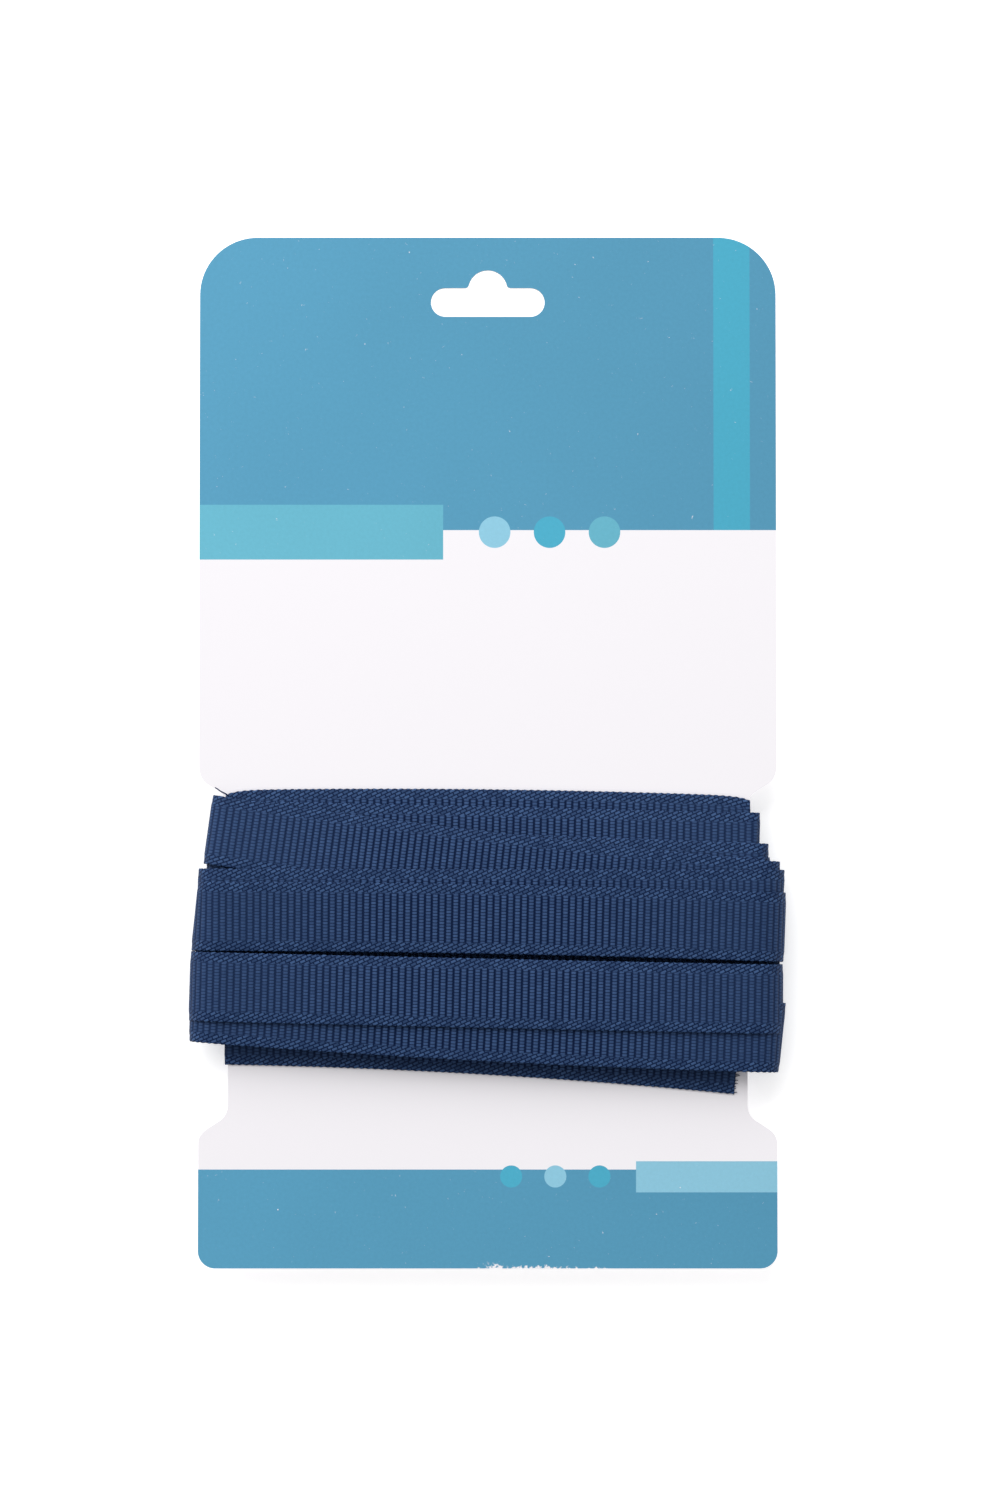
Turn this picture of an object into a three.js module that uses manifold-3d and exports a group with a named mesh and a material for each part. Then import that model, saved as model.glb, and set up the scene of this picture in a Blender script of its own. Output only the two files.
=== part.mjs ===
// Card of grosgrain ribbon: a die-cut paperboard card with a hang slot, and a narrow ribbon
// wound round its waist. It lies on its back. X runs across the card, Y along it with the
// hang slot at +Y, and Z up through its thickness. All sizes are in millimetres.

import * as THREE from 'three';
import { mergeVertices } from 'three/addons/utils/BufferGeometryUtils.js';
import Module from 'manifold-3d';

// Paperboard card
const cardWidth = 84;
const cardLength = 150;
const cardThickness = 0.6;
const topCornerRadius = 8.4;
const bottomCornerRadius = 2.5;

// Waist that is cut in at both sides. Each shoulder is a slanted edge with a curve at its ends:
// the Y where the straight side stops, the two corners of the slant, and the Y where the waist starts.
const waistWidth = 75.4;
const upperShoulder = { side: -2.0, sideCorner: -4.05, waistCorner: -6.75, waist: -8.2 };
const lowerShoulder = { side: -56.9, sideCorner: -55.65, waistCorner: -52.9, waist: -51.2 };
const slantTrim = 0.3;

// Hang slot: a long slot with round ends and a crown in the middle that finds the hook
const slotWidth = 16.6;
const slotHeight = 4.2;
const slotBottomY = 63.4;
const crownRadius = 2.86;
const crownTopY = 70.2;
const crownFootHalfWidth = 3.4;
const crownFootAngle = Math.PI / 12;

// Ribbon and its winding. The ribs run across the ribbon, and the passes that show carry them.
const ribbonWidth = 10;
const ribPitch = 1;
const ribRelief = 0.15;
const backDepth = 3.9;
const clearance = 0.3;
const halvesOverlap = 0.2;
const roundStartPastWaist = 0.5;
const smallestRound = 0.4;
const roundSteps = 7;
const plainSteps = 8;
const turnBlend = 10;

// Loose inner end: a sheet on the card's front, half hidden under the winding
const endThickness = 1;
const endSheet = { leftX: -37.6, rightX: 36.2, leftY: -40.5, middleY: -41.9, rightY: -44.8 };

// Passes of the ribbon over the card's front, from the first lap wound to the last. Each row gives
// the X of the pass's left and right turn, the Y of its middle line at the left, middle and right,
// how far its face stands above the card at the left and right, and whether it is hidden.
const frontPasses = [
  {
    leftX: -41.6, rightX: 41.8, leftY: -28.0, middleY: -28.6, rightY: -29.2,
    leftRise: 2.9, rightRise: 3.0, hidden: true,
  },
  { leftX: -37.9, rightX: 38.0, leftY: -11.2, middleY: -10.5, rightY: -12.0, leftRise: 0.6, rightRise: 0.6 },
  { leftX: -38.6, rightX: 39.4, leftY: -12.2, middleY: -13.1, rightY: -14.0, leftRise: 1.2, rightRise: 1.3 },
  { leftX: -39.4, rightX: 40.5, leftY: -16.0, middleY: -17.1, rightY: -18.5, leftRise: 1.8, rightRise: 2.0 },
  { leftX: -39.8, rightX: 40.8, leftY: -19.5, middleY: -19.8, rightY: -20.5, leftRise: 2.1, rightRise: 2.3 },
  { leftX: -40.6, rightX: 42.2, leftY: -11.4, middleY: -16.9, rightY: -21.1, leftRise: 2.3, rightRise: 3.1 },
  { leftX: -42.1, rightX: 42.8, leftY: -22.1, middleY: -22.2, rightY: -22.3, leftRise: 3.0, rightRise: 3.4 },
  { leftX: -42.5, rightX: 43.1, leftY: -24.0, middleY: -24.4, rightY: -25.6, leftRise: 3.4, rightRise: 3.8 },
  { leftX: -43.1, rightX: 42.7, leftY: -37.1, middleY: -39.9, rightY: -41.6, leftRise: 3.5, rightRise: 3.2 },
  { leftX: -43.2, rightX: 42.8, leftY: -34.1, middleY: -35.1, rightY: -36.0, leftRise: 3.9, rightRise: 3.6 },
];

// The ribbon is wound from right to left over the front, so each pass over the back joins the left
// turn of one front pass to the right turn of the next. The first back pass comes from the loose
// inner end, and the last is the outer end, which stops flat on the back. Back passes are a little
// smaller all round, so that their walls stay apart from the walls of the front passes at the turns.
const firstBackRise = 2.6;
const outerPassesLevel = 8;
const outerEnd = { x: 21, y: -36.2 };
const backInset = 0.12;

const cardMiddleZ = backDepth + cardThickness / 2;
const cardFrontZ = backDepth + cardThickness;

const boardMaterial = new THREE.MeshStandardMaterial({ color: 0x5f9fc2, roughness: 0.75, metalness: 0 });
const ribbonMaterial = new THREE.MeshStandardMaterial({ color: 0x1f2f5c, roughness: 0.8, metalness: 0 });

const wasm = await Module();
wasm.setup();

function toSolid(geometry) {
  geometry.deleteAttribute('normal');
  geometry.deleteAttribute('uv');
  const merged = mergeVertices(geometry, 1e-5);
  return new wasm.Manifold(new wasm.Mesh({
    numProp: 3,
    vertProperties: new Float32Array(merged.attributes.position.array),
    triVerts: new Uint32Array(merged.index.array),
  }));
}

function toGeometry(solid) {
  const mesh = solid.getMesh();
  const geometry = new THREE.BufferGeometry();
  geometry.setAttribute('position', new THREE.BufferAttribute(new Float32Array(mesh.vertProperties), 3));
  geometry.setIndex(new THREE.BufferAttribute(new Uint32Array(mesh.triVerts), 1));
  geometry.computeVertexNormals();
  return geometry;
}

// The slant between two corners with each end trimmed back, where the curves meet it
function shoulderEnds(sideX, waistX, shoulder) {
  const onSlant = (part) => new THREE.Vector2(
    THREE.MathUtils.lerp(sideX, waistX, part),
    THREE.MathUtils.lerp(shoulder.sideCorner, shoulder.waistCorner, part),
  );
  return { nearSide: onSlant(slantTrim), nearWaist: onSlant(1 - slantTrim) };
}

// Card outline, grown outwards by a margin at its sides and into the waist
function cardOutline(margin) {
  const sideX = cardWidth / 2 + margin;
  const waistX = waistWidth / 2 + margin;
  const endY = cardLength / 2 + margin;
  const shift = (shoulder, by) => Object.fromEntries(
    Object.entries(shoulder).map(([name, y]) => [name, y + by]),
  );
  const upper = shift(upperShoulder, -margin);
  const lower = shift(lowerShoulder, margin);
  const upperEnds = shoulderEnds(sideX, waistX, upper);
  const lowerEnds = shoulderEnds(sideX, waistX, lower);

  const side = new THREE.Path();
  side.absarc(sideX - topCornerRadius, endY - topCornerRadius, topCornerRadius, Math.PI / 2, 0, true);
  side.lineTo(sideX, upper.side);
  side.quadraticCurveTo(sideX, upper.sideCorner, upperEnds.nearSide.x, upperEnds.nearSide.y);
  side.lineTo(upperEnds.nearWaist.x, upperEnds.nearWaist.y);
  side.quadraticCurveTo(waistX, upper.waistCorner, waistX, upper.waist);
  side.lineTo(waistX, lower.waist);
  side.quadraticCurveTo(waistX, lower.waistCorner, lowerEnds.nearWaist.x, lowerEnds.nearWaist.y);
  side.lineTo(lowerEnds.nearSide.x, lowerEnds.nearSide.y);
  side.quadraticCurveTo(sideX, lower.sideCorner, sideX, lower.side);
  side.absarc(
    sideX - bottomCornerRadius, -endY + bottomCornerRadius, bottomCornerRadius, 0, -Math.PI / 2, true,
  );
  const right = side.getPoints(10);
  const left = right.map((point) => new THREE.Vector2(-point.x, point.y)).reverse();
  return new THREE.Shape([...right, ...left]);
}

function hangSlot() {
  const endRadius = slotHeight / 2;
  const endCentreX = slotWidth / 2 - endRadius;
  const middleY = slotBottomY + endRadius;
  const topY = slotBottomY + slotHeight;
  const crownCentreY = crownTopY - crownRadius;
  const footX = crownRadius * Math.cos(crownFootAngle);
  const footY = crownCentreY + crownRadius * Math.sin(crownFootAngle);

  const slot = new THREE.Path();
  slot.absarc(endCentreX, middleY, endRadius, -Math.PI / 2, Math.PI / 2, false);
  slot.lineTo(crownFootHalfWidth, topY);
  slot.quadraticCurveTo(crownRadius, topY, footX, footY);
  slot.absarc(0, crownCentreY, crownRadius, crownFootAngle, Math.PI - crownFootAngle, false);
  slot.quadraticCurveTo(-crownRadius, topY, -crownFootHalfWidth, topY);
  slot.absarc(-endCentreX, middleY, endRadius, Math.PI / 2, 1.5 * Math.PI, false);
  slot.closePath();
  return slot;
}

function cardGeometry() {
  const outline = cardOutline(0);
  outline.holes.push(hangSlot());
  const geometry = new THREE.ExtrudeGeometry(outline, {
    depth: cardThickness, bevelEnabled: false, curveSegments: 10,
  });
  return geometry.translate(0, 0, backDepth);
}

// Room for the card in the winding
function cardRoom() {
  const geometry = new THREE.ExtrudeGeometry(cardOutline(clearance), {
    depth: cardThickness + 2 * clearance, bevelEnabled: false,
  });
  return geometry.translate(0, 0, backDepth - clearance);
}

// The middle line's Y, and its slope, at a part of the way along a pass: a parabola through the
// row's three Y values
function middleLine(row, along) {
  const rise = row.rightY - row.leftY;
  const bend = 2 * (row.leftY + row.rightY - 2 * row.middleY);
  return {
    y: row.leftY + rise * along - bend * along * (1 - along),
    slope: (rise - bend * (1 - 2 * along)) / (row.rightX - row.leftX),
  };
}

// Slope that the section across the width stands square to. It is the middle line's own, and near
// a turn it blends into the turn's slope, which is the mean of the two passes that meet there.
function sectionSlope(row, x, lineSlope) {
  const nearLeft = THREE.MathUtils.clamp(1 - (x - row.leftX) / turnBlend, 0, 1);
  const nearRight = THREE.MathUtils.clamp(1 - (row.rightX - x) / turnBlend, 0, 1);
  const towardsLeft = THREE.MathUtils.lerp(lineSlope, row.leftTurn ?? lineSlope, nearLeft);
  return THREE.MathUtils.lerp(towardsLeft, row.rightTurn ?? lineSlope, nearRight);
}

// A flat ribbon solid along a pass. Each station gives an X with the height of the top and bottom
// there.
function ribbonSolidGeometry(row, stations, width, baseZ, facesUp) {
  const steps = stations.length - 1;
  const geometry = new THREE.BoxGeometry(steps, 1, width, steps, 1, 1);
  const position = geometry.attributes.position;
  const facing = facesUp ? 1 : -1;
  for (let i = 0; i < position.count; i++) {
    const station = stations[Math.round(position.getX(i) + steps / 2)];
    const height = position.getY(i) > 0 ? station.top : station.bottom;
    const across = -facing * position.getZ(i);
    const along = (station.x - row.leftX) / (row.rightX - row.leftX);
    const line = middleLine(row, THREE.MathUtils.clamp(along, 0, 1));
    const angle = Math.atan(sectionSlope(row, station.x, line.slope));
    position.setXYZ(
      i,
      station.x - across * Math.sin(angle),
      line.y + across * Math.cos(angle),
      baseZ + facing * height,
    );
  }
  return geometry;
}

// Length of the round turn at an end: what reaches past the card's edge
function roundLength(endX) {
  return Math.max(Math.abs(endX) - waistWidth / 2 - roundStartPastWaist, smallestRound);
}

// Stations along a level stretch: a ridge and a groove for each rib, or a few plain steps
function levelStations(from, to, bottom, ribbed) {
  const ribs = Math.round((to.x - from.x) / ribPitch);
  const steps = ribbed ? 2 * ribs : plainSteps;
  return Array.from({ length: steps + 1 }, (_, step) => ({
    x: THREE.MathUtils.lerp(from.x, to.x, step / steps),
    top: THREE.MathUtils.lerp(from.top, to.top, step / steps) - (ribbed && step % 2 === 1 ? ribRelief : 0),
    bottom,
  }));
}

// Stations round a turn, from the card's middle plane up a quarter of an ellipse to the flat
function turnStations(flatX, reach, top, bottom) {
  return Array.from({ length: roundSteps }, (_, step) => {
    const turn = (Math.PI / 2) * (step / roundSteps);
    return { x: flatX + reach * Math.cos(turn), top: top * Math.sin(turn), bottom };
  });
}

// One pass of the ribbon with all that lies under it, down to the card's middle plane: level over
// the card, and round the card's edges where it has a turn.
function passSolid(row, facesUp) {
  const width = facesUp ? ribbonWidth : ribbonWidth - 2 * backInset;
  const leftReach = roundLength(row.leftX);
  const rightReach = row.stops ? 0 : roundLength(row.rightX);
  const flatLeft = { x: row.leftX + leftReach, top: row.leftRise + cardThickness / 2 };
  const flatRight = { x: row.rightX - rightReach, top: row.rightRise + cardThickness / 2 };
  const bottom = -halvesOverlap;
  const stations = [
    ...turnStations(flatLeft.x, -leftReach, flatLeft.top, bottom),
    ...levelStations(flatLeft, flatRight, bottom, facesUp && !row.hidden),
    ...(row.stops ? [] : turnStations(flatRight.x, rightReach, flatRight.top, bottom).reverse()),
  ];
  return toSolid(ribbonSolidGeometry(row, stations, width, cardMiddleZ, facesUp));
}

// Straight passes over the back, one before each front pass and one after the last
function backPasses() {
  const starts = [endSheet, ...frontPasses];
  return starts.map((start, i) => {
    const end = frontPasses[i] ?? { rightX: outerEnd.x, rightY: outerEnd.y };
    const rise = i < starts.length - outerPassesLevel
      ? THREE.MathUtils.lerp(firstBackRise, backDepth, i / starts.length)
      : backDepth;
    return {
      leftX: start.leftX + backInset,
      rightX: end.rightX - backInset,
      leftY: start.leftY,
      middleY: (start.leftY + end.rightY) / 2,
      rightY: end.rightY,
      leftRise: rise,
      rightRise: rise,
      stops: i === frontPasses.length,
    };
  });
}

// Front and back passes with the slope of the turn at each of their ends
function passesWithTurns() {
  const backs = backPasses();
  const leftTurns = frontPasses.map(
    (front, i) => (middleLine(front, 0).slope + middleLine(backs[i + 1], 0).slope) / 2,
  );
  const rightTurns = frontPasses.map(
    (front, i) => (middleLine(front, 1).slope + middleLine(backs[i], 1).slope) / 2,
  );
  return {
    fronts: frontPasses.map((row, i) => ({ ...row, leftTurn: leftTurns[i], rightTurn: rightTurns[i] })),
    backs: backs.map((row, i) => ({ ...row, leftTurn: leftTurns[i - 1], rightTurn: rightTurns[i] })),
  };
}

// The loose end as a sheet, or with a margin as the room it needs under the winding
function endSheetGeometry(margin) {
  const left = { x: endSheet.leftX - margin, top: endThickness + margin };
  const right = { x: endSheet.rightX + margin, top: endThickness + margin };
  const stations = levelStations(left, right, -margin, margin === 0);
  const width = ribbonWidth + 2 * margin;
  return ribbonSolidGeometry(endSheet, stations, width, cardFrontZ + clearance, true);
}

function windingGeometry() {
  const { fronts, backs } = passesWithTurns();
  const passes = [
    ...fronts.map((row) => passSolid(row, true)),
    ...backs.map((row) => passSolid(row, false)),
  ];
  const winding = passes
    .reduce((whole, pass) => whole.add(pass))
    .subtract(toSolid(cardRoom()))
    .subtract(toSolid(endSheetGeometry(clearance)));
  return toGeometry(winding);
}

function piece(name, geometry, material) {
  const mesh = new THREE.Mesh(geometry, material);
  mesh.name = name;
  return mesh;
}

const ribbonCard = new THREE.Group();
ribbonCard.add(piece('card', cardGeometry(), boardMaterial));
ribbonCard.add(piece('ribbon_winding', windingGeometry(), ribbonMaterial));
ribbonCard.add(piece('ribbon_end', endSheetGeometry(0), ribbonMaterial));

export default ribbonCard;
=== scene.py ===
"""Card of grosgrain ribbon: a printed paperboard card with a narrow navy ribbon wound round its waist."""

import bpy
import numpy as np
from mathutils import Matrix


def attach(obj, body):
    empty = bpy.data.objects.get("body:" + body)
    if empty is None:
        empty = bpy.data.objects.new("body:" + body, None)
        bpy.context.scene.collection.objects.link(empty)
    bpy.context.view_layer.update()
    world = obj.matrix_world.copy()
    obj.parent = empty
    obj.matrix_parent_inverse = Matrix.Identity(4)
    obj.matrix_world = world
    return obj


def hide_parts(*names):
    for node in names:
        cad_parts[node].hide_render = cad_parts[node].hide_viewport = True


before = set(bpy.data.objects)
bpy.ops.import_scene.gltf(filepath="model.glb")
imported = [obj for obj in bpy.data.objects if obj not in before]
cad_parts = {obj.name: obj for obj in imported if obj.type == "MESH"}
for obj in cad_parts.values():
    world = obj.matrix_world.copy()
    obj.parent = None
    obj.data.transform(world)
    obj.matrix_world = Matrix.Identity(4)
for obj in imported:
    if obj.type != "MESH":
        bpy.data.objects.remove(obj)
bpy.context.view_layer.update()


# Printed card: white paperboard, 0.6 mm thick, die-cut with a hang slot and a narrower waist. It is
# offset printed in four blues under a thin satin varnish. The cut edge shows the bare board, and the
# print is rubbed along the lower edge and at the bottom left corner.

board_white = "#F2EFF3"
board_core = "#DAD7D2"
field_blue = "#549ABB"
sky_blue = "#66B4CA"
pale_blue = "#8FCAE1"
turquoise = "#4AAECB"

# Printed rectangles in order, later ones over earlier ones: left, right, bottom and top in mm
printed_blocks = [
    dict(left=-43, right=43, bottom=32.2, top=76, colour=field_blue),
    dict(left=32.9, right=38.2, bottom=32.2, top=76, colour=turquoise),
    dict(left=-43, right=-6.5, bottom=27.9, top=35.9, colour=sky_blue),
    dict(left=-43, right=43, bottom=-76, top=-60.7, colour=field_blue),
    dict(left=21.5, right=43, bottom=-64.0, top=-59.5, colour=pale_blue),
]

# Where the ink is rubbed off: the middle of each spot and how far it reaches across and up, in mm
rubbed_spots = [
    dict(x=-41.9, y=-74.4, across=1.5, up=1.2),
    dict(x=1.1, y=-75.2, across=3.2, up=1.7),
    dict(x=8.0, y=-75.1, across=12.0, up=0.8),
]

# Printed dots that carry on each stripe: the middle of the first one, the step to the next, and the
# colour of each
printed_dots = [
    dict(x=1.0, y=31.9, step=8.0, radius=2.3, colours=[pale_blue, turquoise, sky_blue]),
    dict(x=16.2, y=-61.7, step=-6.4, radius=1.6, colours=[turquoise, pale_blue, turquoise]),
]


def linear(hex_colour):
    """sRGB hex to linear RGBA: c / 12.92 where c is at most 0.04045, else ((c + 0.055) / 1.055) ** 2.4."""
    c = np.array([int(hex_colour[i:i + 2], 16) for i in (1, 3, 5)]) / 255
    rgb = np.where(c <= 0.04045, c / 12.92, ((c + 0.055) / 1.055) ** 2.4)
    return (*rgb.tolist(), 1.0)


def add(tree, kind, inputs=(), **settings):
    """Adds a node of a kind with its settings. Each input is given as (name, value or socket)."""
    node = tree.nodes.new("ShaderNode" + kind)
    for name, value in settings.items():
        setattr(node, name, value)
    for name, value in inputs:
        if isinstance(value, bpy.types.NodeSocket):
            tree.links.new(value, node.inputs[name])
        else:
            node.inputs[name].default_value = value
    return node


def new_material(name):
    """An empty node material: gives it, its tree, and the Object coordinates scaled from metres to mm."""
    material = bpy.data.materials.new(name)
    material.use_nodes = True
    tree = material.node_tree
    tree.nodes.clear()
    coordinates = add(tree, "TexCoord")
    mm = add(tree, "VectorMath", [(0, coordinates.outputs["Object"]), ("Scale", 1000.0)], operation="SCALE")
    return material, tree, mm.outputs[0]


def printed_paperboard():
    """Flat blocks and dots of ink on white board. The ink shows the paper's mottle, 0.5 mm across, and is
    missing in a few specks and where the card is rubbed; the cut edge is the bare core. The ink also
    carries painted light: a painted sheen makes it lighter at the left, and it is painted darker towards
    the right, where the light falls off."""
    material, tree, mm = new_material("printed_paperboard")
    xyz = add(tree, "SeparateXYZ", [(0, mm)])
    x, y = xyz.outputs["X"], xyz.outputs["Y"]
    colour = add(tree, "RGB").outputs[0]
    colour.default_value = linear(board_white)
    inked = 0.0

    masks = []
    for block in printed_blocks:
        middle_x = (block["left"] + block["right"]) / 2
        middle_y = (block["bottom"] + block["top"]) / 2
        half_width, half_height = block["right"] - middle_x, block["top"] - middle_y
        across = add(tree, "Math", [(0, x), (1, middle_x), (2, half_width)], operation="COMPARE")
        along = add(tree, "Math", [(0, y), (1, middle_y), (2, half_height)], operation="COMPARE")
        both = add(tree, "Math", [(0, across.outputs[0]), (1, along.outputs[0])], operation="MULTIPLY")
        masks.append((both.outputs[0], block["colour"]))
    flat = add(tree, "CombineXYZ", [("X", x), ("Y", y), ("Z", 0.0)])
    for row in printed_dots:
        for i, ink in enumerate(row["colours"]):
            centre = (row["x"] + i * row["step"], row["y"], 0.0)
            away = add(tree, "VectorMath", [(0, flat.outputs[0]), (1, centre)], operation="DISTANCE")
            dot = add(tree, "Math", [(0, away.outputs["Value"]), (1, row["radius"])], operation="LESS_THAN")
            masks.append((dot.outputs[0], ink))
    for mask, ink in masks:
        mixed = add(tree, "Mix", [("Factor", mask), (6, colour), (7, linear(ink))], data_type="RGBA")
        colour = mixed.outputs[2]
        inked = add(tree, "Math", [(0, inked), (1, mask)], operation="MAXIMUM").outputs[0]

    mottle = add(tree, "TexNoise", [("Vector", mm), ("Scale", 2.0), ("Detail", 4.0), ("Roughness", 0.65)])
    shade = add(tree, "MapRange", [("Value", mottle.outputs["Fac"]), ("From Min", 0.3), ("From Max", 0.7),
                                   ("To Min", 0.965), ("To Max", 1.03)])
    cloud = add(tree, "TexNoise", [("Vector", mm), ("Scale", 0.035), ("Detail", 2.0)])
    drift = add(tree, "MapRange", [("Value", cloud.outputs["Fac"]), ("From Min", 0.3), ("From Max", 0.7),
                                   ("To Min", 0.975), ("To Max", 1.02)])
    uneven = add(tree, "Math", [(0, shade.outputs[0]), (1, drift.outputs[0])], operation="MULTIPLY")
    # Painted light: a painted sheen makes the ink lighter at the left, and painted shade makes it darker
    # towards the right
    painted_sheen_falloff = add(tree, "MapRange", [("Value", x), ("From Min", -43.0), ("From Max", 43.0), ("To Min", 1.03),
                                    ("To Max", 0.9)])
    ink_mottle_and_painted_light = add(tree, "Math", [(0, uneven.outputs[0]), (1, painted_sheen_falloff.outputs[0])], operation="MULTIPLY")
    shaded = add(tree, "VectorMath", [(0, colour), ("Scale", ink_mottle_and_painted_light.outputs[0])], operation="SCALE")
    colour = add(tree, "Mix", [("Factor", inked), (6, colour), (7, shaded.outputs[0])], data_type="RGBA")

    # Specks without ink: the middles of scattered cells about 9 mm apart, 0.24 mm across at most
    cells = add(tree, "TexVoronoi", [("Vector", mm), ("Scale", 0.11)])
    speck = add(tree, "Math", [(0, cells.outputs["Distance"]), (1, 0.013)], operation="LESS_THAN")
    scuff = add(tree, "TexNoise", [("Vector", mm), ("Scale", 1.7), ("Detail", 5.0), ("Roughness", 0.7)])
    wear = 0.0
    for spot in rubbed_spots:
        moved = add(tree, "VectorMath", [(0, flat.outputs[0]), (1, (spot["x"], spot["y"], 0.0))],
                    operation="SUBTRACT")
        scaled = add(tree, "VectorMath", [(0, moved.outputs[0]), (1, (spot["across"], spot["up"], 1.0))],
                     operation="DIVIDE")
        away = add(tree, "VectorMath", [(0, scaled.outputs[0])], operation="LENGTH")
        near = add(tree, "MapRange", [("Value", away.outputs["Value"]), ("From Min", 1.0),
                                      ("From Max", 0.2), ("To Min", 0.0), ("To Max", 0.26)])
        wear = add(tree, "Math", [(0, wear), (1, near.outputs[0])], operation="MAXIMUM").outputs[0]
    rub = add(tree, "Math", [(0, scuff.outputs["Fac"]), (1, wear)], operation="ADD")
    rubbed = add(tree, "MapRange", [("Value", rub.outputs[0]), ("From Min", 0.68), ("From Max", 0.76)])
    bare = add(tree, "Math", [(0, speck.outputs[0]), (1, rubbed.outputs[0])], operation="MAXIMUM")

    # Front and cut edge are told apart by which way the surface faces
    faces = add(tree, "SeparateXYZ", [(0, add(tree, "NewGeometry").outputs["Normal"])])
    front = add(tree, "Math", [(0, faces.outputs["Z"]), (1, 0.5)], operation="GREATER_THAN")
    level = add(tree, "Math", [(0, faces.outputs["Z"])], operation="ABSOLUTE")
    edge = add(tree, "Math", [(0, level.outputs[0]), (1, 0.5)], operation="LESS_THAN")
    off_front = add(tree, "Math", [(0, 1.0), (1, front.outputs[0])], operation="SUBTRACT")
    unprinted = add(tree, "Math", [(0, bare.outputs[0]), (1, off_front.outputs[0])], operation="MAXIMUM")
    colour = add(tree, "Mix", [("Factor", unprinted.outputs[0]), (6, colour.outputs[2]),
                               (7, linear(board_white))], data_type="RGBA")
    colour = add(tree, "Mix", [("Factor", edge.outputs[0]), (6, colour.outputs[2]),
                               (7, linear(board_core))], data_type="RGBA")

    fibre = add(tree, "TexNoise", [("Vector", mm), ("Scale", 6.0), ("Detail", 3.0)])
    bump = add(tree, "Bump", [("Height", fibre.outputs["Fac"]), ("Strength", 0.25), ("Distance", 0.00002)])
    shader = add(tree, "BsdfPrincipled", [
        ("Base Color", colour.outputs[2]), ("Roughness", 0.62), ("IOR", 1.45),
        ("Specular IOR Level", 0.3), ("Normal", bump.outputs[0]),
    ])
    add(tree, "OutputMaterial", [("Surface", shader.outputs[0])])
    return material


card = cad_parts["card"]
card.data.materials.clear()
card.data.materials.append(printed_paperboard())


# Ribbon: one length of navy polyester grosgrain, 10 mm wide, woven in plain weave with a thick weft
# that makes a rib every 0.99 mm and with a flat selvedge along each side. It is wound round the card's
# waist by machine, right to left over the front and left to right over the back. The stack is worked
# out by laying each lap loosely on those below it, so laps sink into each other in places.

ribbon_width = 10.0
ribbon_thickness = 0.24
rib_pitch = 0.99
rib_relief = 0.13
selvedge_width = 1.45

# Where the ribbon lies on the card: half the waist's width, the Z of the two faces, the height of one
# layer over the front, and that of the whole winding behind the card. The round of a turn starts a
# little past the waist's edge, and has a least length.
waist_edge = 37.7
card_front, card_back = 4.5, 3.9
card_middle = (card_front + card_back) / 2
front_pitch = 0.27
back_height = 3.9
round_start = 0.5
smallest_round = 0.4

# Laps that show, in the order they are wound after the hidden ones. The turn at each end reaches as far
# as left and right from the card's middle. The other values are taken at the left, half way and at the
# right: the Y of the ribbon's middle line over the front, its rise above the card, and the tilt of its
# section, positive where the upper edge is the higher one. The first lap lies at the shoulder of the
# winding, and has slipped down a little within slip_reach of both ends.
seen_laps = [
    dict(left=38.1, right=38.2, y=(-10.7, -10.6, -11.6), rise=(0.5, 0.5, 0.5), tilt=(-0.09, -0.09, -0.09),
         slip=0.75),
    dict(left=38.6, right=39.4, y=(-12.2, -13.1, -14.0), rise=(1.0, 1.1, 1.15), tilt=(-0.1, -0.1, -0.1)),
    dict(left=39.4, right=40.5, y=(-16.0, -17.1, -18.5), rise=(1.6, 1.7, 1.8), tilt=(-0.09, -0.09, -0.09)),
    dict(left=40.8, right=40.8, y=(-19.5, -19.8, -20.5), rise=(2.0, 2.05, 2.1), tilt=(-0.05, -0.05, -0.05)),
    dict(left=40.6, right=42.2, y=(-11.4, -16.9, -21.1), rise=(1.5, 2.25, 2.5), tilt=(-0.18, -0.06, -0.03)),
    dict(left=42.1, right=42.8, y=(-22.1, -22.2, -22.3), rise=(2.6, 2.85, 2.95), tilt=(0.0, 0.0, 0.0)),
    dict(left=42.5, right=43.1, y=(-24.0, -24.4, -25.6), rise=(3.0, 3.15, 3.25), tilt=(0.02, 0.02, 0.02)),
    dict(left=43.1, right=42.7, y=(-37.1, -39.9, -41.6), rise=(3.0, 2.95, 2.85), tilt=(0.03, 0.03, 0.03)),
    dict(left=43.2, right=42.8, y=(-34.1, -35.1, -36.0), rise=(3.5, 3.45, 3.4), tilt=(0.0, 0.0, 0.0)),
]
inner_end = dict(left=38.1, right=36.2, y=(-40.5, -41.9, -44.8))
outer_end = dict(right=21.0, y=(-36.2, -36.2, -36.2))
slip_reach = 1.6

# Hidden laps lie between four rows, whose middle lines are given at the left, half way and at the right.
# Each lap's place counts from the lowest row, 0, to the highest, 3. Between rows 1 and 2 is the narrow
# gap that shows as a dark line, and only the third hidden lap lies across it.
hidden_rows = np.array([[-37.3, -39.8, -41.2], [-33.8, -35.2, -35.6], [-24.1, -24.4, -25.7],
                        [-17.5, -18.0, -19.0]])
hidden_places = [0, 0.5, 1.5, 2.5, 3, 2, 1, 0, 0, 1, 2, 2.5, 2, 1, 0.3]
hidden_count = len(hidden_places)

# Turns of the hidden laps reach past the waist's edge by the first of these, and by up to the second
# more. That grows with the depth below the thin upper edge, from a least share to the whole.
first_reach, added_reach = 0.45, 4.2
thin_edge_y, full_depth, least_share = -16.0, 13.0, 0.1


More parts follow.
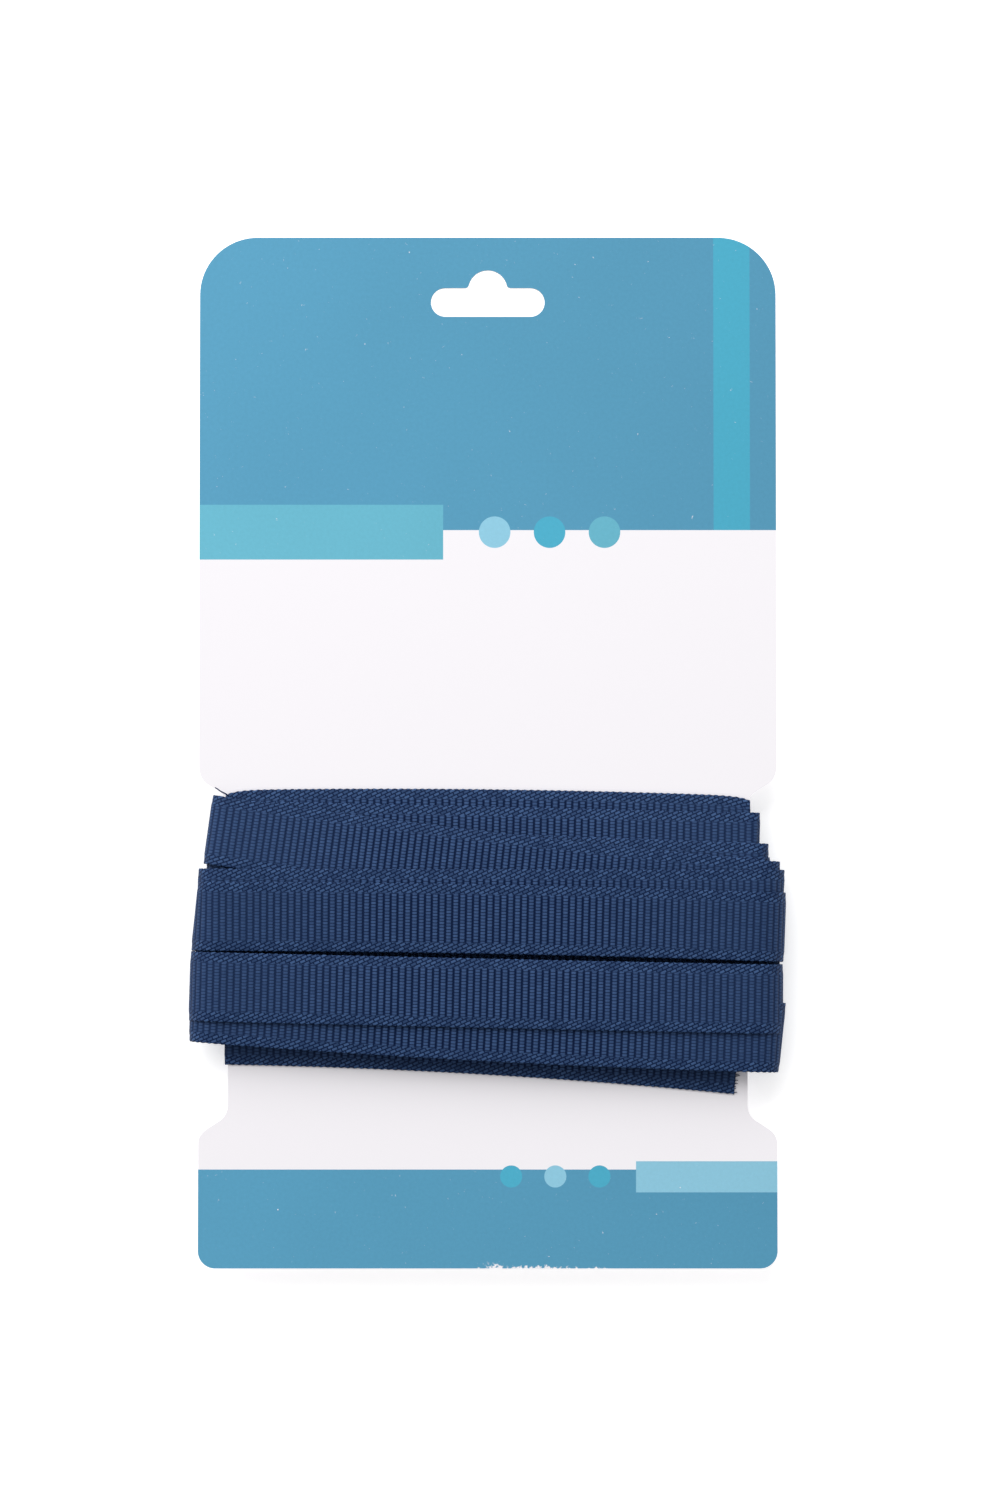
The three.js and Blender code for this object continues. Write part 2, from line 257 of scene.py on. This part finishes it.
def hidden_laps():
    """Laps like those that show. The reach grows evenly with the lap's number, and less so near the
    winding's upper edge, where it is thin."""
    rows = np.arange(len(hidden_rows))
    lines = np.stack([np.interp(hidden_places, rows, column) for column in hidden_rows.T], axis=1)
    full = np.clip((thin_edge_y - lines) / full_depth, least_share, 1)
    share = (np.arange(len(lines)) + 1)[:, None] / len(lines)
    reach = waist_edge + first_reach + added_reach * full * share
    return [dict(left=reach[i, 0], right=reach[i, 2], y=line) for i, line in enumerate(lines)]


def along_lap(lap, values, x):
    """The parabola through three values, at the lap's two turns and half way between them."""
    along = (x + lap["left"]) / (lap["right"] + lap["left"])
    bend = 2 * (values[0] + values[2] - 2 * values[1])
    return values[0] + (values[2] - values[0]) * along - bend * along * (1 - along)


def slip_y(lap, x):
    """How far the lap has slipped down at each end, falling off exponentially towards the middle."""
    ends = np.exp(-(x + lap["left"]) / slip_reach) + np.exp((x - lap["right"]) / slip_reach)
    return -lap.get("slip", 0.0) * ends


def smooth(values, reach):
    """Weighted mean along the first axis, with weights that fall off as a bell curve of that reach."""
    steps = np.arange(-3 * reach, 3 * reach + 1)
    weights = np.exp(-0.5 * (steps / reach) ** 2)
    padded = np.pad(values, 3 * reach, mode="edge")
    return np.convolve(padded, weights / weights.sum(), mode="valid")


# The winding's height is kept on a grid over each face of the card, counted in layers. A pass is fitted
# at the points of its section, and is smoothed over so many steps of the grid.
stack_x = np.arange(-38.0, 38.5, 1.0)
stack_y = np.arange(-52.0, 0.01, 0.25)
section = np.linspace(-4.6, 4.6, 19)
powers = section ** np.arange(3)[:, None]
best_fit = np.linalg.pinv(powers.T).T
bend_reach, lowering_reach = 3, 2
spare_layers = 0.5


def read_section(grid, centre):
    """Values of a grid at each point of the ribbon's section, read between the two nearest lines."""
    place = (centre[:, None] + section[None, :] - stack_y[0]) / (stack_y[1] - stack_y[0])
    low = np.clip(np.floor(place).astype(int), 0, len(stack_y) - 2)
    part = place - low
    rows = np.arange(len(centre))[:, None]
    return grid[rows, low] * (1 - part) + grid[rows, low + 1] * part


def section_heights(shape, centre):
    """The section's underside over the grid: height + tilt * v + curve * v squared, with v the distance
    across, and where the ribbon lies."""
    across = stack_y[None, :] - centre[:, None]
    heights = shape[:, 0:1] + shape[:, 1:2] * across + shape[:, 2:3] * across ** 2
    return heights, np.abs(across) <= ribbon_width / 2


def lay_pass(stack, centre, room):
    """Lays a pass over a face of the card and sets the stack to one layer above it where it lies. Its
    section is the best fit to the stack below it and to the room there is, so it may sink into that
    stack. It bends smoothly along its length, and is lowered where it would stand more than the spare
    layers out of that room."""
    limit = read_section(room, centre)
    below = np.minimum(read_section(stack, centre), limit)
    shape = np.stack([smooth(values, bend_reach) for values in (below @ best_fit).T], axis=1)
    excess = (shape @ powers - limit).max(axis=1) - spare_layers
    shape[:, 0] -= smooth(np.maximum(excess, 0), lowering_reach)
    heights, lies = section_heights(shape, centre)
    stack[...] = np.where(lies, heights + 1, stack)
    return shape


def seen_shape(lap):
    """The front pass of a lap that shows: its rise and tilt along the card, in layers, with no curve."""
    rise, tilt = along_lap(lap, lap["rise"], stack_x), along_lap(lap, lap["tilt"], stack_x)
    return np.stack([rise, tilt, 0 * stack_x], axis=1) / front_pitch


def wind():
    """Lays every lap in turn, a front pass and then a back pass that leads to the next lap, and gives
    the laps and the height of the back in layers. On the front the hidden laps fill the room under the
    ones that show. A turn stands square to the mean of the two passes that meet there."""
    rows = [inner_end] + hidden_laps() + seen_laps
    front, back = np.zeros((2, len(stack_x), len(stack_y)))
    room, no_limit = np.full((2, *front.shape), 99.0)
    for lap in seen_laps:
        heights, lies = section_heights(seen_shape(lap), along_lap(lap, lap["y"], stack_x))
        room = np.where(lies, np.minimum(room, heights - 1), room)
    room = np.maximum(room, 0)
    laps = []
    for lap, goal in zip(rows, rows[1:] + [outer_end]):
        over = along_lap(lap, lap["y"], stack_x)
        back_slope = (goal["y"][2] - lap["y"][0]) / (goal["right"] + lap["left"])
        under = lap["y"][0] + back_slope * (stack_x + lap["left"])
        front_slope = np.gradient(over, stack_x)
        slope_before = laps[-1]["back_slope"] if laps else 0
        laps.append(dict(
            lap, front=seen_shape(lap) if "rise" in lap else lay_pass(front, over, room),
            back=lay_pass(back, under, no_limit), back_slope=back_slope,
            left_slope=(front_slope[0] + back_slope) / 2, right_slope=(front_slope[-1] + slope_before) / 2,
        ))
    return laps, back.max()


laps, back_layers = wind()
back_pitch = back_height / back_layers

# Points along a flat pass and round a turn, for the laps that show and for the hidden ones
seen_steps, hidden_steps = (150, 60), (12, 11)


def flat_limit(reach):
    """Where a pass leaves the flat: the round of the turn is what reaches past the waist's edge."""
    return reach - max(reach - waist_edge - round_start, smallest_round)


def pass_points(lap, face, x):
    """Points of a pass at each X: its middle line, the section's direction (Y up the card) and curve.
    The front pass follows its parabola, and the back pass runs straight on to the next lap."""
    pitch, base, up = (front_pitch, card_front, 1) if face == "front" else (back_pitch, card_back, -1)
    height, tilt, curve = (np.interp(x, stack_x, values) * pitch for values in lap[face].T)
    if face == "front":
        y = along_lap(lap, lap["y"], x)
        slope = np.gradient(y, x)
        y = y + slip_y(lap, x)
    else:
        slope = np.full_like(x, lap["back_slope"])
        y = lap["y"][0] + slope * (x + lap["left"])
    angle = np.arctan(slope)
    centre = np.stack([x, y, base + up * (height + pitch / 2)], axis=1)
    across = np.stack([-np.sin(angle), np.cos(angle), up * tilt], axis=1)
    return centre, across, curve


def turn_points(start, end, side, lap, steps):
    """Points round the card's edge from the end of one pass to the start of the next: a quarter of an
    ellipse out to the lap's reach at the card's middle plane, and another one back. The section turns
    from the first pass's direction to the turn's own and on to the next pass's."""
    angle = np.linspace(np.pi / 2, -np.pi / 2, steps + 2)[1:-1]
    outwards, level = np.cos(angle)[:, None], np.abs(np.sin(angle))[:, None]
    on_first = angle[:, None] > 0
    near = np.where(on_first, start[0][-1], end[0][0])
    near_across = np.where(on_first, start[1][-1], end[1][0])
    near_curve = np.where(on_first[:, 0], start[2][-1], end[2][0])
    sign = 1 if side == "right" else -1
    lean = np.arctan(lap[side + "_slope"])
    far_y = lap["y"][2 if side == "right" else 0] - lap.get("slip", 0.0)
    far = np.array([sign * (lap[side] - ribbon_thickness / 2), far_y, card_middle])
    centre = np.concatenate([
        near[:, :2] + (far[:2] - near[:, :2]) * outwards, far[2] + (near[:, 2:] - far[2]) * level
    ], axis=1)
    far_across = np.array([-np.sin(lean), np.cos(lean), 0.0])
    across = far_across + (near_across - far_across) * level
    return centre, across, near_curve * level[:, 0]


def ribbon_legs():
    """The course of the whole ribbon as legs that follow each other: the front pass from the inner end,
    the turn and back pass after it, and then for each lap a right turn, front pass, left turn and back
    pass. A leg is three arrays: points, section directions and curves."""
    legs, back = [], None
    for number, (lap, ahead) in enumerate(zip(laps, laps[1:] + [None])):
        flat_steps, turn_steps = hidden_steps if 0 < number <= hidden_count else seen_steps
        start = flat_limit(lap["right"]) if legs else inner_end["right"]
        stop = flat_limit(ahead["right"]) if ahead else outer_end["right"]
        left_flat = -flat_limit(lap["left"])
        front = pass_points(lap, "front", np.linspace(start, left_flat, flat_steps))
        after = pass_points(lap, "back", np.linspace(left_flat, stop, flat_steps))
        left_turn = turn_points(front, after, "left", lap, turn_steps)
        if back is None:
            legs += [front, [np.concatenate(pair) for pair in zip(left_turn, after)]]
        else:
            right_turn = turn_points(back, front, "right", lap, turn_steps)
            legs.append([np.concatenate(parts) for parts in zip(right_turn, front, left_turn, after)])
        back = after
    return legs


# How the ribs are shaped: steps along each, the power that rounds its crest, the height of an unribbed
# lap and of the selvedge as shares of the relief, and the depth of the scallops along both edges in mm
steps_per_rib = 5
rib_power = 0.8
unribbed_share, selvedge_share = 0.6, 0.35
scallop_depth = 0.05


def ribbon_strip(path, length_before, ribbed):
    """Sweeps the ribbon's section along a path, as a grid of points and its UV map, and gives the length
    at its end. Each point is the middle line plus its distance across along the section direction, plus
    along the normal the curve times the square of that distance and half the thickness up or down. The
    face adds the ribs: the relief times a power of the rectified sine of the length over the rib pitch,
    lower on the selvedges, whose edge is scalloped once a rib."""
    centre, across, curve = path
    run = np.r_[0, np.cumsum(np.linalg.norm(np.diff(centre, axis=0), axis=1))]
    if ribbed:
        length = np.linspace(0, run[-1], round(run[-1] / (rib_pitch / steps_per_rib)) + 1)
        centre, across = (
            np.stack([np.interp(length, run, column) for column in values.T], axis=1)
            for values in (centre, across)
        )
        curve = np.interp(length, run, curve)
        run = length
    along = run + length_before
    ahead = np.gradient(centre, axis=0)
    normal = np.cross(across, ahead)
    normal /= np.linalg.norm(normal, axis=1, keepdims=True)

    half = ribbon_width / 2
    inner = half - selvedge_width
    face = np.array([-half, -half + 0.15, -half + 0.75, -inner, -2.4, -0.8, 0.8, 2.4, inner, half - 0.75,
                     half - 0.15, half])
    ring = np.concatenate([face, [half, half / 2, 0, -half / 2, -half]])
    on_face = np.arange(len(ring)) < len(face)
    phase = np.pi * along / rib_pitch
    scallop = scallop_depth * np.cos(2 * phase)[:, None] * (np.abs(ring) == half) * np.sign(ring)
    v = ring[None, :] + scallop
    rib = np.abs(np.sin(phase))[:, None] ** rib_power if ribbed else np.full((len(along), 1), unribbed_share)
    weight = np.where(np.abs(ring) < inner + 0.01, 1.0, selvedge_share) * (np.abs(ring) < half)
    lift = np.where(on_face, ribbon_thickness / 2, -ribbon_thickness / 2)
    lift = lift + rib_relief * rib * weight * on_face + curve[:, None] * v ** 2
    points = centre[:, None] + v[:, :, None] * across[:, None] + lift[:, :, None] * normal[:, None]
    uv = np.stack([np.broadcast_to(along[:, None], v.shape), np.broadcast_to(ring, v.shape)], axis=2)
    return (points, uv), along[-1]


def thread_strips(paths, radius):
    """Round threads along paths, an array of threads by points by three: a ring of points round each
    point, across the thread's general direction, and thinner towards the end."""
    sides, end_share = 6, 0.6
    general = paths[:, -1] - paths[:, 0]
    general /= np.linalg.norm(general, axis=1, keepdims=True)
    side = np.cross(general, [0.0, 0.0, 1.0])
    side /= np.linalg.norm(side, axis=1, keepdims=True)
    up = np.cross(side, general)
    turn = np.arange(sides) * 2 * np.pi / sides
    ring = np.cos(turn)[:, None] * side[:, None] + np.sin(turn)[:, None] * up[:, None]
    size = radius * np.linspace(1.0, end_share, paths.shape[1])[:, None, None]
    uv = np.zeros((paths.shape[1], sides, 2))
    return [(path[:, None] + size * ring[i][None], uv) for i, path in enumerate(paths)]


def strips_object(name, strips):
    """One object from strips, each a grid of points in mm, rings by sides, and its UV map of the length
    and the distance across. Quads join each ring to the next, and a cap closes both ends."""
    corners, sizes, first = [], [], 0
    for points, uv in strips:
        rings, sides = points.shape[:2]
        i, j = np.meshgrid(np.arange(rings - 1), np.arange(sides), indexing="ij")
        k = (j + 1) % sides
        quads = np.stack([i * sides + j, i * sides + k, (i + 1) * sides + k, (i + 1) * sides + j], axis=2)
        caps = np.r_[np.arange(sides)[::-1], (rings - 1) * sides + np.arange(sides)]
        corners.append(first + np.r_[quads.ravel(), caps])
        sizes.append(np.r_[np.full(quads.size // 4, 4), sides, sides])
        first += rings * sides
    corners, sizes = np.concatenate(corners), np.concatenate(sizes)
    points = np.concatenate([grid.reshape(-1, 3) for grid, uv in strips]) / 1000
    uvs = np.concatenate([uv.reshape(-1, 2) for grid, uv in strips])
    mesh = bpy.data.meshes.new(name)
    mesh.vertices.add(len(points))
    mesh.vertices.foreach_set("co", points.astype(np.float32).ravel())
    mesh.loops.add(len(corners))
    mesh.loops.foreach_set("vertex_index", corners.astype(np.int32))
    mesh.polygons.add(len(sizes))
    mesh.polygons.foreach_set("loop_start", np.r_[0, np.cumsum(sizes)[:-1]].astype(np.int32))
    mesh.uv_layers.new(name="ribbon_mm")
    mesh.uv_layers[0].data.foreach_set("uv", uvs[corners].astype(np.float32).ravel())
    mesh.update(calc_edges=True)
    mesh.validate()
    mesh.shade_smooth()
    piece = bpy.data.objects.new(name, mesh)
    bpy.context.scene.collection.objects.link(piece)
    return piece


# The two float blues are the navy with a painted sheen on it. The darkest navy is the dye darkened with
# painted shade for the grooves between the ribs, and it also draws the selvedge's dark lines
thread_and_sheen_blue = "#465E86"
thread_and_sheen_dark = "#2B4670"
navy_and_groove_shade = "#04183A"
selvedge_blue = "#3D5780"


def woven_grosgrain():
    """Dyed polyester in plain weave. Warp threads 0.23 mm apart pass over every other rib, so the ribs
    carry short floats 0.46 mm apart, set half a step aside from rib to rib. The floats are painted
    brighter than the navy, a painted sheen, and the dark lines between them are painted shade in the
    grooves. This painted shade and sheen are made fainter towards the turns, following how the light
    falls there. The selvedges are a fine flat weave."""
    material, tree, mm = new_material("woven_grosgrain")
    uv = add(tree, "UVMap", uv_map="ribbon_mm")
    split = add(tree, "SeparateXYZ", [(0, uv.outputs[0])])
    along, across = split.outputs["X"], split.outputs["Y"]
    turned = add(tree, "CombineXYZ", [("X", across), ("Y", along), ("Z", 0.0)])
    floats = add(tree, "TexBrick", [
        ("Vector", turned.outputs[0]), ("Color1", (1, 1, 1, 1)), ("Color2", (0.72, 0.72, 0.72, 1)),
        ("Mortar", (0, 0, 0, 1)), ("Scale", 1.0), ("Mortar Size", 0.11), ("Mortar Smooth", 1.0),
        ("Bias", 0.0), ("Brick Width", 0.46), ("Row Height", rib_pitch),
    ], offset=0.5, offset_frequency=2)
    phase = add(tree, "Math", [(0, along), (1, np.pi / rib_pitch)], operation="MULTIPLY")
    wave = add(tree, "Math", [(0, phase.outputs[0])], operation="SINE")
    crest = add(tree, "Math", [(0, wave.outputs[0])], operation="ABSOLUTE")
    body = add(tree, "MapRange", [("Value", crest.outputs[0]), ("From Min", 0.25), ("From Max", 0.8)],
               interpolation_type="SMOOTHSTEP")
    sharp = add(tree, "Math", [(0, floats.outputs["Color"]), (1, body.outputs[0])], operation="MULTIPLY")
    # Painted light: the painted groove shade and float sheen are made fainter towards the turns
    place = add(tree, "SeparateXYZ", [(0, mm)])
    from_middle = add(tree, "Math", [(0, place.outputs["X"])], operation="ABSOLUTE")
    fade = add(tree, "MapRange", [("Value", from_middle.outputs[0]), ("From Min", 14.0), ("From Max", 36.0),
                                  ("To Min", 0.0), ("To Max", 0.4)])
    lit = add(tree, "Mix", [("Factor", fade.outputs[0]), (2, sharp.outputs[0]), (3, 0.42)],
              data_type="FLOAT")

    # Selvedge: a fine twill slanted along the edge. Its real cells are 0.5 by 0.25 mm, too fine to show,
    # so they are drawn 0.9 by 0.5 mm
    slant = add(tree, "Mapping", [("Vector", uv.outputs[0]), ("Rotation", (0, 0, 0.45))])
    twill = add(tree, "TexBrick", [
        ("Vector", slant.outputs[0]), ("Color1", (1, 1, 1, 1)), ("Color2", (0.45, 0.45, 0.45, 1)),
        ("Mortar", (0, 0, 0, 1)), ("Scale", 1.0), ("Mortar Size", 0.14), ("Mortar Smooth", 0.8),
        ("Bias", 0.0), ("Brick Width", 0.9), ("Row Height", 0.5),
    ], offset=0.5, offset_frequency=2)
    out = add(tree, "Math", [(0, across)], operation="ABSOLUTE")
    inner = ribbon_width / 2 - selvedge_width
    rim = add(tree, "MapRange", [("Value", out.outputs[0]), ("From Min", inner - 0.15),
                                 ("From Max", inner + 0.15)], interpolation_type="SMOOTHSTEP")

    yarn = add(tree, "TexNoise", [("Vector", mm), ("Scale", 3.0), ("Detail", 4.0), ("Roughness", 0.7)])
    thread = add(tree, "Mix", [("Factor", yarn.outputs["Fac"]), (6, linear(thread_and_sheen_dark)),
                               (7, linear(thread_and_sheen_blue))], data_type="RGBA")
    middle = add(tree, "Mix", [("Factor", lit.outputs[0]), (6, linear(navy_and_groove_shade)),
                               (7, thread.outputs[2])], data_type="RGBA")
    side = add(tree, "Mix", [("Factor", twill.outputs["Color"]), (6, linear(navy_and_groove_shade)),
                             (7, linear(selvedge_blue))], data_type="RGBA")
    colour = add(tree, "Mix", [("Factor", rim.outputs[0]), (6, middle.outputs[2]),
                               (7, side.outputs[2])], data_type="RGBA")
    relief = add(tree, "Mix", [("Factor", rim.outputs[0]), (2, floats.outputs["Color"]),
                               (3, twill.outputs["Color"])], data_type="FLOAT")
    bump = add(tree, "Bump", [("Height", relief.outputs[0]), ("Strength", 0.8), ("Distance", 0.00006)])
    # The sheen is painted into the base colour, so the specular level is kept low
    shader = add(tree, "BsdfPrincipled", [
        ("Base Color", colour.outputs[2]), ("Roughness", 0.55), ("IOR", 1.5), ("Specular IOR Level", 0.07),
        ("Normal", bump.outputs[0]),
    ])
    add(tree, "OutputMaterial", [("Surface", shader.outputs[0])])
    return material


grosgrain = woven_grosgrain()

legs = ribbon_legs()

# The cut end is slightly frayed: straight warp ends stand 0.15 to 0.65 mm out of it, each at a slight
# angle
fray = np.random.default_rng(7)
fray_count, fray_radius = 22, 0.07
fray_v = np.linspace(-4.8, 4.8, fray_count) + fray.uniform(-0.1, 0.1, fray_count)
fray_way = np.stack([0.2 + fray.uniform(0.1, 0.6, fray_count), fray.uniform(-0.15, 0.15, fray_count),
                     fray.uniform(-0.05, 0.12, fray_count)], axis=1)
cut_middle, cut_across = legs[0][0][0], legs[0][1][0]
fray_from = cut_middle - [0.15, 0, 0] + fray_v[:, None] * cut_across
frayed_end = fray_from[:, None] + fray_way[:, None] * np.linspace(0, 1, 4)[None, :, None]

# One warp end has pulled out of the selvedge at the left shoulder
loose_thread = np.array([[[-37.5, -6.6, 7.0], [-38.0, -6.25, 7.1], [-38.6, -5.95, 7.15], [-39.1, -5.6, 7.1],
                          [-39.5, -5.35, 7.0]]])
loose_radius = 0.12

# The ribbon is kept as four lengths that follow each other, from the cut end that shows to the end on
# the back
ribbon_lengths = [
    dict(name="ribbon_tail", replaces="ribbon_end", first=0, last=0, ribbed=True, rests_on="card",
         threads=thread_strips(frayed_end, fray_radius)),
    dict(name="ribbon_inner_laps", replaces="ribbon_winding", first=1, last=hidden_count + 1, ribbed=False,
         rests_on="card", threads=[]),
    dict(name="ribbon_upper_laps", replaces="ribbon_winding", first=hidden_count + 2, last=hidden_count + 6,
         ribbed=True, rests_on="ribbon_inner_laps", threads=thread_strips(loose_thread, loose_radius)),
    dict(name="ribbon_outer_laps", replaces="ribbon_winding", first=hidden_count + 7,
         last=hidden_count + 10, ribbed=True, rests_on="ribbon_upper_laps", threads=[]),
]
run_before = 0.0
for part in ribbon_lengths:
    course = [np.concatenate(parts) for parts in zip(*legs[part["first"]:part["last"] + 1])]
    if part["first"]:
        course = [np.concatenate([before[-1:], values])
                  for before, values in zip(legs[part["first"] - 1], course)]
    strip, run_after = ribbon_strip(course, run_before, part["ribbed"])
    piece = strips_object(part["name"], [strip] + part["threads"])
    piece.data.materials.append(grosgrain)
    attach(piece, "root")
    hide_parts(part["replaces"])
    print(part["name"], round(run_after - run_before), "mm", len(piece.data.polygons))
    run_before = run_after


# Stage: a plain pale floor under soft, almost shadowless light. A large light at the top left gives
# the direction, and a white surrounding, brighter towards the top of the picture, fills the rest. The
# floor glows a little, which keeps the shadow on it as faint as on a light table.

bpy.context.scene.view_settings.view_transform = "Standard"

floor_reach = 3
floor_glow = 0.42
floor_mesh = bpy.data.meshes.new("floor")
floor_corners = [(x * floor_reach, y * floor_reach, 0) for x, y in ((-1, -1), (1, -1), (1, 1), (-1, 1))]
floor_mesh.from_pydata(floor_corners, [], [(0, 1, 2, 3)])
floor = bpy.data.objects.new("floor", floor_mesh)
bpy.context.scene.collection.objects.link(floor)
floor_paper, floor_tree = new_material("floor_paper")[:2]
floor_shader = add(floor_tree, "BsdfPrincipled", [
    ("Base Color", (0.9, 0.9, 0.9, 1)), ("Roughness", 0.9), ("Specular IOR Level", 0.0),
    ("Emission Color", (1, 1, 1, 1)), ("Emission Strength", floor_glow),
])
add(floor_tree, "OutputMaterial", [("Surface", floor_shader.outputs[0])])
floor_mesh.materials.append(floor_paper)

dimmest, brightest = 0.32, 0.92
world = bpy.data.worlds.new("soft_surrounding")
bpy.context.scene.world = world
world.use_nodes = True
sky = world.node_tree
sky.nodes.clear()
direction = add(sky, "SeparateXYZ", [(0, add(sky, "TexCoord").outputs["Generated"])])
strength = add(sky, "MapRange", [("Value", direction.outputs["Y"]), ("From Min", -0.9), ("From Max", 0.9),
                                 ("To Min", dimmest), ("To Max", brightest)])
dome = add(sky, "Background", [("Color", (1, 1, 1, 1)), ("Strength", strength.outputs[0])])
add(sky, "OutputWorld", [("Surface", dome.outputs[0])])


def aimed(name, data, place, target, up):
    """An object at a place that looks at a target: its -Z axis points there and its Y axis towards up."""
    thing = bpy.data.objects.new(name, data)
    bpy.context.scene.collection.objects.link(thing)
    back = np.subtract(place, target) / np.linalg.norm(np.subtract(place, target))
    right = np.cross(up, back)
    right /= np.linalg.norm(right)
    matrix = np.eye(4)
    matrix[:3, 0], matrix[:3, 1], matrix[:3, 2], matrix[:3, 3] = right, np.cross(back, right), back, place
    thing.matrix_world = Matrix(matrix.tolist())
    return thing


key_place, key_target = (-0.3, 0.66, 0.55), (0, -0.02, 0.004)
key = bpy.data.lights.new("key", "AREA")
key.shape = "RECTANGLE"
key.size, key.size_y = 1.1, 0.8
key.energy = 8.2
aimed("key", key, key_place, key_target, (0, 0, 1))

camera_distance = 0.606
camera_lean = np.radians(1.85)
camera_target = (0.00178, 0.00015, 0.0045)
lens = bpy.data.cameras.new("camera")
lens.lens, lens.sensor_width = 100, 36
lens.clip_start, lens.clip_end = 0.01, 20
camera_way = np.array([0, -np.sin(camera_lean), np.cos(camera_lean)])
camera_place = camera_target + camera_distance * camera_way
bpy.context.scene.camera = aimed("camera", lens, camera_place, camera_target, (0, 1, 0))
